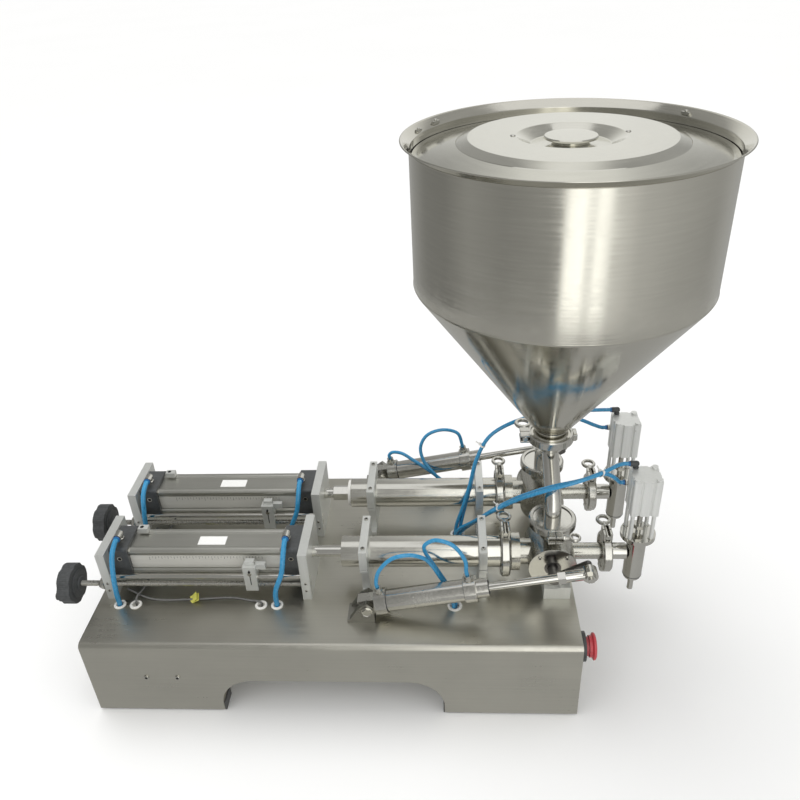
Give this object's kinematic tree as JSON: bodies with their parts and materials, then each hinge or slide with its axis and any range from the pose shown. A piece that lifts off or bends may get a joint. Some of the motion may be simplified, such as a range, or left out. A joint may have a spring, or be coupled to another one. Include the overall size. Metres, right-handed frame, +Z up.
{
  "type": "piston filling machine",
  "caption": "Bench-top pneumatic piston filler for liquids and pastes: covered cone hopper, rotary valves, metering tubes and cut-off nozzles on a bent-sheet box base.",
  "frame": {"origin": "centre of the four foot holes on the floor, under the middle of the base box", "axes": "+X along the base from the handwheels to the nozzles, +Y from the front with the drive cylinder in view to the back, +Z up"},
  "size_m": [0.9868, 0.4306, 0.82],
  "materials": {
    "brushed_steel": "brushed",
    "polished_steel": "polished",
    "alloy": "satin anodised",
    "dark_plastic": "matt",
    "white_plastic": "satin",
    "red_plastic": "glossy",
    "blue_tube": "glossy, slightly clear",
    "cable_sheath": "satin",
    "foot_rubber": "matt"
  },
  "bodies": {
    "machine": {"base_shell": "brushed_steel", "base_ends": "brushed_steel", "feet": "foot_rubber", "socket_screws": "polished_steel", "grommets": "white_plastic", "air_valves": "alloy", "control_box": "dark_plastic", "air_inlet": "polished_steel", "left_plates": "alloy", "right_plates": "alloy", "cylinder_caps": "dark_plastic", "barrel_front": "alloy", "barrel_rear": "alloy", "guide_rods": "polished_steel", "end_sensors": "alloy", "tube_brackets": "alloy", "metering_tube_front": "polished_steel", "metering_tube_rear": "polished_steel", "tube_clamps": "polished_steel", "valve_body_front": "brushed_steel", "valve_body_rear": "brushed_steel", "valve_covers": "brushed_steel", "valve_stands": "alloy", "drive_brackets": "brushed_steel", "outlet_pipes": "polished_steel", "outlet_clamps": "polished_steel", "nozzle_body_front": "brushed_steel", "nozzle_body_rear": "brushed_steel", "nozzle_cylinder_front": "alloy", "nozzle_cylinder_rear": "alloy", "hopper": "brushed_steel", "hopper_cone": "brushed_steel", "neck_clamp": "polished_steel", "manifold": "polished_steel", "port_clamps": "polished_steel", "estop_body": "dark_plastic", "air_fittings": "dark_plastic", "air_tubes": "blue_tube", "sensor_cables": "cable_sheath", "drive_tubes_front": "blue_tube", "drive_tubes_rear": "blue_tube"},
    "lid": {"hopper_lid": "brushed_steel", "lid_knob": "polished_steel"},
    "stop_button": {"estop_button": "red_plastic"},
    "piston_front": {"piston_rod_front": "polished_steel", "pistons_front": "white_plastic"},
    "wheel_front": {"handwheel_front": "dark_plastic"},
    "volume_stop_front": {"stop_block_front": "alloy"},
    "crank_front": {"crank_front": "brushed_steel"},
    "drive_front": {"drive_cylinder_front": "polished_steel"},
    "drive_rod_front": {"drive_rod_front": "polished_steel"},
    "stem_front": {"nozzle_stem_front": "polished_steel"},
    "piston_rear": {"piston_rod_rear": "polished_steel", "pistons_rear": "white_plastic"},
    "wheel_rear": {"handwheel_rear": "dark_plastic"},
    "volume_stop_rear": {"stop_block_rear": "alloy"},
    "crank_rear": {"crank_rear": "brushed_steel"},
    "drive_rear": {"drive_cylinder_rear": "polished_steel"},
    "drive_rod_rear": {"drive_rod_rear": "polished_steel"},
    "stem_rear": {"nozzle_stem_rear": "polished_steel"}
  },
  "joints": [
    {"name": "lid_lift", "type": "slide", "parent": "machine", "child": "lid", "axis": [0, 0, 1], "range_m": [0, 0.25]},
    {"name": "stop_press", "type": "slide", "parent": "machine", "child": "stop_button", "axis": [-1, 0, 0], "range_m": [0, 0.005], "stiffness_N_per_m": 1500},
    {"name": "piston_slide_front", "type": "slide", "parent": "machine", "child": "piston_front", "axis": [1, 0, 0], "range_m": [-0.1692, 0.0108]},
    {"name": "wheel_turn_front", "type": "hinge", "parent": "machine", "child": "wheel_front", "pos_m": [-0.38, -0.103, 0.175], "axis": [1, 0, 0], "range_deg": [-11880, 1440]},
    {"name": "volume_slide_front", "type": "slide", "parent": "machine", "child": "volume_stop_front", "axis": [1, 0, 0], "range_m": [-0.1655, 0.0205]},
    {"name": "crank_turn_front", "type": "hinge", "parent": "machine", "child": "crank_front", "pos_m": [0.339, -0.063, 0.206], "axis": [0, -1, 0], "range_deg": [0, 90]},
    {"name": "drive_tilt_front", "type": "hinge", "parent": "machine", "child": "drive_front", "pos_m": [0.059, -0.14, 0.172], "axis": [0, -1, 0], "range_deg": [0, 7.18], "deforming": ["drive_tubes_front"]},
    {"name": "drive_rod_slide_front", "type": "slide", "parent": "drive_front", "child": "drive_rod_front", "axis": [0.983, 0, 0.1835], "range_m": [-0.06713, 0]},
    {"name": "stem_lift_front", "type": "slide", "parent": "machine", "child": "stem_front", "axis": [0, 0, 1], "range_m": [0, 0.012]},
    {"name": "piston_slide_rear", "type": "slide", "parent": "machine", "child": "piston_rear", "axis": [1, 0, 0], "range_m": [-0.0144, 0.1656]},
    {"name": "wheel_turn_rear", "type": "hinge", "parent": "machine", "child": "wheel_rear", "pos_m": [-0.38, 0.043, 0.175], "axis": [1, 0, 0], "range_deg": [-11880, 1440]},
    {"name": "volume_slide_rear", "type": "slide", "parent": "machine", "child": "volume_stop_rear", "axis": [1, 0, 0], "range_m": [-0.1655, 0.0205]},
    {"name": "crank_turn_rear", "type": "hinge", "parent": "machine", "child": "crank_rear", "pos_m": [0.339, 0.083, 0.206], "axis": [0, -1, 0], "range_deg": [0, 90]},
    {"name": "drive_tilt_rear", "type": "hinge", "parent": "machine", "child": "drive_rear", "pos_m": [0.059, 0.185, 0.172], "axis": [0, -1, 0], "range_deg": [0, 7.18], "deforming": ["drive_tubes_rear"]},
    {"name": "drive_rod_slide_rear", "type": "slide", "parent": "drive_rear", "child": "drive_rod_rear", "axis": [0.983, 0, 0.1835], "range_m": [-0.06713, 0]},
    {"name": "stem_lift_rear", "type": "slide", "parent": "machine", "child": "stem_rear", "axis": [0, 0, 1], "range_m": [0, 0.012]}
  ],
  "couplings": [
    {"joint": "volume_slide_front", "follows": "wheel_turn_front", "m_per_rad": 0.00079577},
    {"joint": "drive_tilt_front", "follows": "crank_turn_front", "ratio": 0.079228},
    {"joint": "drive_rod_slide_front", "follows": "crank_turn_front", "m_per_rad": -0.042546},
    {"joint": "volume_slide_rear", "follows": "wheel_turn_rear", "m_per_rad": 0.00079577},
    {"joint": "drive_tilt_rear", "follows": "crank_turn_rear", "ratio": 0.079228},
    {"joint": "drive_rod_slide_rear", "follows": "crank_turn_rear", "m_per_rad": -0.042546}
  ]
}
